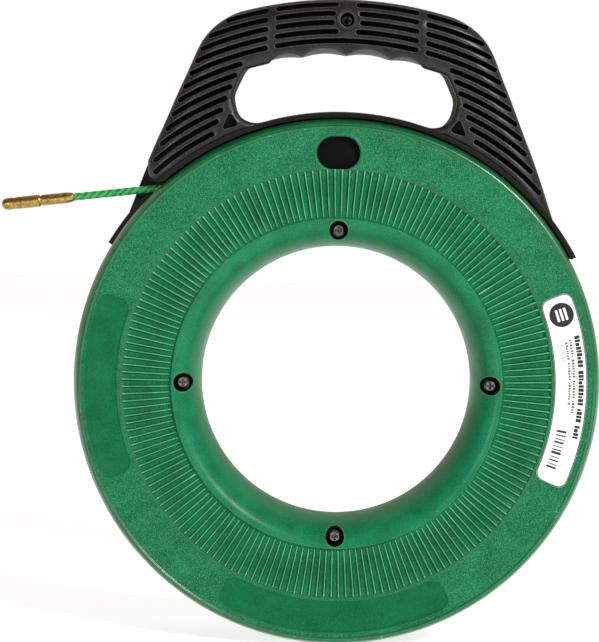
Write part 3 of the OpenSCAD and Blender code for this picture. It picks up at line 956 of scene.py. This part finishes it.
def fill(loops, extra, tolerance):
    """Triangles between the first loop and the others, through the extra points too."""
    edges, base = [], 0
    for loop in loops:
        edges += [(base + k, base + (k + 1) % len(loop)) for k in range(len(loop))]
        base += len(loop)
    points = [Vector(p) for p in join(loops + extra)]
    flat, _, faces, sources, _, _ = delaunay_2d_cdt(points, edges, [], 0, tolerance)
    flat = np.array([tuple(v) for v in flat])
    faces = np.array([f for f in faces if len(f) == 3])
    return flat, faces[within(flat[faces].mean(1), loops[0], loops[1:])], sources


def surface_points(outline, opening, holes):
    """Rows of points along the face's rounded edges, with a staggered grid between."""
    xs, zs = np.meshgrid(np.arange(-130, 131, 2.4), np.arange(88, 222, 2.1))
    xs = xs + (np.arange(len(xs)) % 2)[:, None] * 1.2
    rows, spacing = [], []

    def add(loop, sign, distances):
        rows.append(offset_rows(loop, [sign * turn_of(loop) * d for d in distances]))
        spacing.append(np.repeat(distances, len(loop)))

    add(outline, 1, (0.25, 0.7, 1.4, 2.4, 3.7, 5.4, 7.6, 10.2))
    add(opening, -1, (0.3, 0.8, 1.5, 2.4, 3.6))
    for r in (GRIP_BOSS_R, GRIP_BOSS_R + 0.5):
        rows.append(circle_loop(0, BOSS_Z, r, 56))
        spacing.append(np.full(56, 0.3))
    for hole in holes:
        add(hole, -1, (0.22, 0.6, 1.33))
    points = join(rows + [np.stack([xs.ravel(), zs.ravel()], -1)])
    spacing = join(spacing + [np.full(xs.size, GRID_GAP)])
    keep = within(points, outline, [opening] + holes)
    points, spacing = points[keep], spacing[keep]
    gap = np.min([distance(points, loop) for loop in [outline, opening] + holes], 0)
    keep = gap > 0.93 * spacing
    return thin_out(points[keep], np.where(spacing == GRID_GAP, 1.5, spacing * 0.55)[keep])


def make_handle_half(name, side, node, screw_hole):
    """One moulded half: rolled outer edge, rounded opening, cored slots, pockets and boss."""
    front = side < 0
    outline, rolled = handle_outline(front)
    opening_mid = opening_loop()
    opening = front_opening(opening_mid) if front else opening_mid
    slots = [s for s in slot_loops(outline) if inside(s, outline).all() and distance(s, outline).min() > 0.25]
    pockets = pocket_loops()
    holes = slots + pockets + ([circle_loop(0, BOSS_Z, GRIP_HOLE_R)] if screw_hole else [])
    extra = surface_points(outline, opening, holes)
    flat, triangles, sources = fill([outline, opening] + holes, [extra], 1e-6)
    index_of = {source: k for k, found in enumerate(sources) for source in found}

    drop = round_drop(distance(flat, rolled, False), ROLL_W, ROLL_DEPTH)
    to_opening = distance(flat, opening)
    crisp = smoothstep((flat[:, 1] - SCALLOP_LOW_Z) / 5) * front
    crisp = crisp * smoothstep((SCALLOPS_END_X - np.abs(flat[:, 0])) / 4)
    drop += round_drop(to_opening, 3.6, 3.4) * (1 - crisp) + round_drop(to_opening, 0.9, 0.7) * crisp
    drop += round_drop(distance(flat, outline[len(rolled):], False), 1.0, 0.8)
    for hole in holes:
        drop += round_drop(distance(flat, hole), 0.6, 0.5)
    if screw_hole:
        drop += 0.7 * smoothstep((np.hypot(flat[:, 0], flat[:, 1] - BOSS_Z) - GRIP_BOSS_R) / 0.5)
    verts = [(x, side * (HANDLE_HALF_T - d), z) for (x, z), d in zip(flat, drop)]
    faces = triangles.tolist()
    top_middle = flat[triangles].mean(1)
    to_holes = np.min([distance(top_middle, hole) for hole in holes], 0)
    # Top faces next to the holes get the lighter black: a painted highlight along their rounded edges.
    marks = np.where(to_holes < HOLE_HIGHLIGHT_W, 3, 0).tolist()

    def strip(tops, loop, depths):
        """Quads from a row of points down to a loop at one depth or one per point."""
        start, n = len(verts), len(loop)
        verts.extend((x, side * y, z) for (x, z), y in zip(loop, np.broadcast_to(depths, n)))
        faces.extend([tops[k], tops[(k + 1) % n], start + (k + 1) % n, start + k] for k in range(n))
        return list(range(start, start + n))

    def outer_wall(start, loop, sign):
        """Wall down to the mid-plane, ending in half of the small V groove between the halves."""
        lows = strip([index_of[start + k] for k in range(len(loop))], loop, PARTING_GROOVE)
        step = np.hypot(*(np.roll(loop, -1, 0) - loop).T)
        roomy = (np.minimum(step, np.roll(step, 1)) > 2 * PARTING_GROOVE)[:, None]
        inset = offset_rows(loop, (sign * turn_of(loop) * PARTING_GROOVE,))
        return strip(lows, np.where(roomy, inset, loop), 0.01)

    lows = outer_wall(0, outline, 1)
    marks += [0] * (len(faces) - len(marks))
    lows += outer_wall(len(outline), opening_mid, -1)
    # Opening walls under the finger scallops get the lighter black, painted light from below; the opening's
    # other walls get the duller black, painted shade.
    in_scallops = (opening_mid[:, 1] > SCALLOP_LOW_Z) & (np.abs(opening_mid[:, 0]) < SCALLOPS_END_X)
    marks += np.where(in_scallops, 2, 1).tolist() * 2
    start = len(outline) + len(opening)
    for number, hole in enumerate(holes):
        floor_y = SLOT_FLOOR_Y if number < len(slots) else GRIP_SEAT_Y
        if len(slots) <= number < len(slots) + len(pockets):
            radius = np.hypot(*hole.T)
            floor_y = 12.5 + 3.5 * (radius - radius.min()) / np.ptp(radius)
        low = strip([index_of[start + k] for k in range(len(hole))], hole, floor_y)
        start += len(hole)
        faces += [[low[i] for i in cap] for cap in flat_faces(hole)]
    _, caps, sources = fill([outline, opening_mid], [], 1e-7)
    faces += [[lows[sources[i][0]] for i in cap] for cap in caps]
    # Hole walls and floors and the caps at the mid-plane get the duller black: painted shade.
    marks += [1] * (len(faces) - len(marks))
    looks = ("handle", "handle_inner_shade", "grip_wall_painted_light", "handle_edge_highlight")
    make_piece(name, verts, faces, looks, "handle", node, 38.0, marks)


def thin_out(points, spacing):
    """Drops points that lie closer to an earlier one than their spacing."""
    grid = {}
    kept = []
    for (x, y), gap in zip(points, spacing):
        i, j, reach = floor(x), floor(y), ceil(gap)
        cells = [(i + di, j + dj) for di in range(-reach, reach + 1) for dj in range(-reach, reach + 1)]
        if all((px - x) ** 2 + (py - y) ** 2 >= gap * gap for cell in cells for px, py in grid.get(cell, ())):
            grid.setdefault((i, j), []).append((x, y))
            kept.append((x, y))
    return np.array(kept)


# ==== Tape

def coil_points():
    """Centreline of the stored tape: lanes side by side, layer on layer, outwards."""
    steps, shift_turn = 60, 40.0 / 360.0
    total = COIL_LANES * len(COIL_RADII)

    def ring(turn):
        """Radius and depth of a turn; layers are wound to and fro across the core."""
        layer, lane = divmod(min(turn, total - 1), COIL_LANES)
        return np.array([COIL_RADII[layer], 22.0 - TAPE_D * (COIL_LANES - 1 - lane if layer % 2 else lane)])

    points = []
    for turn in range(total):
        here, after = ring(turn), ring(turn + 1)
        for k in range(steps):
            t = k / steps
            r, y = here + smoothstep((t - 1 + shift_turn) / shift_turn) * (after - here)
            x, z = r * at_angle(45.0 - 360.0 * t)
            points.append((x, y, z))
    return points


def make_coil():
    points = coil_points()
    curve = bpy.data.curves.new("tape_coil_turns", "CURVE")
    curve.dimensions = "3D"
    curve.bevel_depth = 2.16 * MM
    curve.bevel_resolution = 3
    curve.use_fill_caps = True
    spline = curve.splines.new("POLY")
    spline.points.add(len(points) - 1)
    spline.points.foreach_set("co", np.insert(np.array(points) * MM, 3, 1.0, 1).ravel())
    spline.use_smooth = True
    curve.materials.append(materials["rod"])
    coil = place("tape_coil_turns", curve)
    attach(coil, "case")
    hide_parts("tape_coil")


def tape_lathe(stations, segments, radius=None):
    return lathe(TAPE_FOOT, TAPE_DIR, TAPE_UP, TAPE_SIDE, stations, segments, radius)


def make_lead():
    """Straight end of the tape, with the ridges of its slanting wrap."""
    count = int(LEAD_LEN / 0.55)
    stations = [(LEAD_LEN * k / count, TAPE_D / 2) for k in range(count + 1)]

    def wrap(s, r, phi):
        return r - 0.1 + 0.1 * np.cos(WRAP_STARTS * (phi + 2 * s / TAPE_D))

    verts, faces = tape_lathe(stations, 28, wrap)
    lead = make_piece("tape_lead_rod", verts, faces, ("wrapped_rod",), "rod", "tape_lead", 60.0)
    uv = lead.data.uv_layers.new(name="UVMap")
    co = np.array([v.co[:] for v in lead.data.vertices]) / MM - TAPE_FOOT
    s = co @ TAPE_DIR
    around = np.arctan2(co @ TAPE_SIDE, co @ TAPE_UP) * TAPE_D / 2
    for polygon in lead.data.polygons:
        ids = list(polygon.vertices)
        wraps = np.ptp(around[ids]) > TAPE_D
        for loop, v in zip(polygon.loop_indices, ids):
            uv.data[loop].uv = (s[v], around[v] + (pi * TAPE_D if wraps and around[v] < 0 else 0))


def make_ferrule():
    """Crimped brass sleeve with a taper at its mouth, pressed flats and a groove."""
    s0, s1 = FERRULE_S

    def crimp(s, r, phi):
        radius = np.full(len(phi), r)
        t = (s - s0) / (s1 - s0)
        for low, high in ((0.30, 0.40), (0.52, 0.72)):
            depth = 0.42 * float(smoothstep((t - low) / 0.04) * smoothstep((high - t) / 0.04))
            for face in (-38, 142) if depth > 0 else ():
                away = np.cos(phi - radians(face))
                limit = (r - depth) / np.maximum(away, 1e-3)
                radius = np.where((away > 0.5) & (limit < radius), limit, radius)
        return radius

    mouth = ((0, 2.26), (0.05, 2.5), (0.5, 2.62), (1.6, 2.84), (3.2, 3.06), (4.2, 3.15))
    stations = [(s0 + s, r) for s, r in mouth] + [(s0 + 4.2 + k * 0.3, 3.15) for k in range(1, 46)]
    stations += [(s1 - s, r) for s, r in ((1.2, 3.15), (1.0, 3.02), (0.8, 2.78), (0.3, 2.78), (0, 2.9))]
    verts, faces = tape_lathe(stations, 56, crimp)
    return make_piece("ferrule_sleeve", verts, faces, ("brass",), "brass", "tape_ferrule", 30.0)


def make_tip():
    """Turned leader: chamfered barrel, fine grooves, rounded nose and a cross hole."""
    s0 = FERRULE_S[1]
    stations = [(s0, 2.7), (s0 + 0.05, 3.2), (s0 + 0.35, 3.46), (s0 + 0.6, 3.5)]
    stations += [(s0 + 0.6 + k * 0.62, 3.45 if k in (3, 5, 16) else 3.5) for k in range(1, 26)]
    nose_s = stations[-1][0]
    nose_len = TIP_END_S - nose_s
    for k in range(1, 15):
        t = radians(90 * k / 14)
        stations.append((nose_s + nose_len * sin(t) ** NOSE_BLUNT, max(3.5 * cos(t) ** NOSE_BLUNT, 0.02)))
    piece = make_piece("leader_barrel", *tape_lathe(stations, 56), ("brass",), "brass", "leader_tip", 40.0)
    eye = TAPE_FOOT + TAPE_DIR * EYE_S
    cut(piece, *lathe(eye, TAPE_UP, TAPE_DIR, TAPE_SIDE, [(-8.0, 1.5), (8.0, 1.5)], 32))
    return piece


# ==== Carried-over CAD nodes

def finish_nodes():
    """Materials and softened edges for the CAD nodes that stay as they are."""
    # The handle screw gets the darkened steel: painted shade of its deep hole.
    looks = {"handle_screw": "deep_screw_shade", "slide_shoe": "shoe", "shoe_screws": "steel",
             "tape_guide": "guide", "guide_screws": "steel", "case_screws": "steel",
             "case_inserts": "brass", "winding_core": "core", "tape_anchor": "stud",
             "anchor_screw": "steel", "tip_stud": "stud"}
    for name, look in looks.items():
        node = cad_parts[name]
        node.data.materials.clear()
        node.data.materials.append(materials[look])
    for name, width in (("slide_shoe", 0.5), ("case_screws", 0.18)):
        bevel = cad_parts[name].modifiers.new("soft_edges", "BEVEL")
        bevel.width = width * MM
        bevel.segments = 2
        bevel.limit_method = "ANGLE"
        bevel.angle_limit = radians(40)


# ==== Setting

def area_light(name, spot, aim, power):
    data = bpy.data.lights.new(name, "AREA")
    data.shape = "RECTANGLE"
    data.size = data.size_y = 0.5
    data.energy = power
    light = place(name, data)
    light.location = spot
    light.rotation_euler = (Vector(aim) - Vector(spot)).to_track_quat("-Z", "Y").to_euler()


def make_setting():
    """Pale floor just under the reel, soft front and upper-right light, and a white surround."""
    floor_z = -CASE_R * MM - 0.0002
    mesh = bpy.data.meshes.new("floor")
    corners = ((-3, -3), (3, -3), (3, 5), (-3, 5))
    mesh.from_pydata([(x, y, floor_z) for x, y in corners], [], [(0, 1, 2, 3)])
    floor = place("floor", mesh)
    material, shader, coords = new_material("floor_pale", specular=0.1)
    patch = noise(coords, 60.0, 3.0)
    link(mix(patch, (0.5, 0.5, 0.5), (0.52, 0.52, 0.52)), shader.inputs["Base Color"])
    put(shader, Roughness=0.9, Emission_Color=(1.0, 1.0, 1.0, 1.0), Emission_Strength=0.79)
    floor.data.materials.append(material)
    world = bpy.data.worlds.new("surround")
    world.use_nodes = True
    tree = world.node_tree
    background = tree.nodes["Background"]
    split = new_node(tree, "SeparateXYZ")
    link(new_node(tree, "TexCoord").outputs["Generated"], split.inputs["Vector"])
    seen = new_node(tree, "LightPath").outputs["Is Camera Ray"]
    strength = new_node(tree, "Mix")
    link(seen, strength.inputs[0])
    link(remap(split.outputs["Y"], -0.25, 0.45, 0.2, 0.58), strength.inputs[2])
    strength.inputs[3].default_value = 1.0
    link(strength.outputs[0], background.inputs["Strength"])
    link(mix(seen, (1.0, 0.91, 0.75), (1.0, 1.0, 1.0)), background.inputs["Color"])
    bpy.context.scene.world = world
    area_light("key", (1.3, -1.8, 1.25), (0.0, 0.0, 0.02), 53.0)
    area_light("fill", (-1.0, -2.1, 0.15), (0.0, 0.0, 0.0), 10.0)
    bpy.context.scene.view_settings.view_transform = "Standard"


make_camera()
materials = make_materials()
make_coil()
ferrule = make_ferrule()
tip = make_tip()
make_lead()
make_case()
make_label()
make_handle_half("handle_front_shell", -1, "handle_front", True)
make_handle_half("handle_back_shell", 1, "handle_back", False)
finish_nodes()
make_setting()
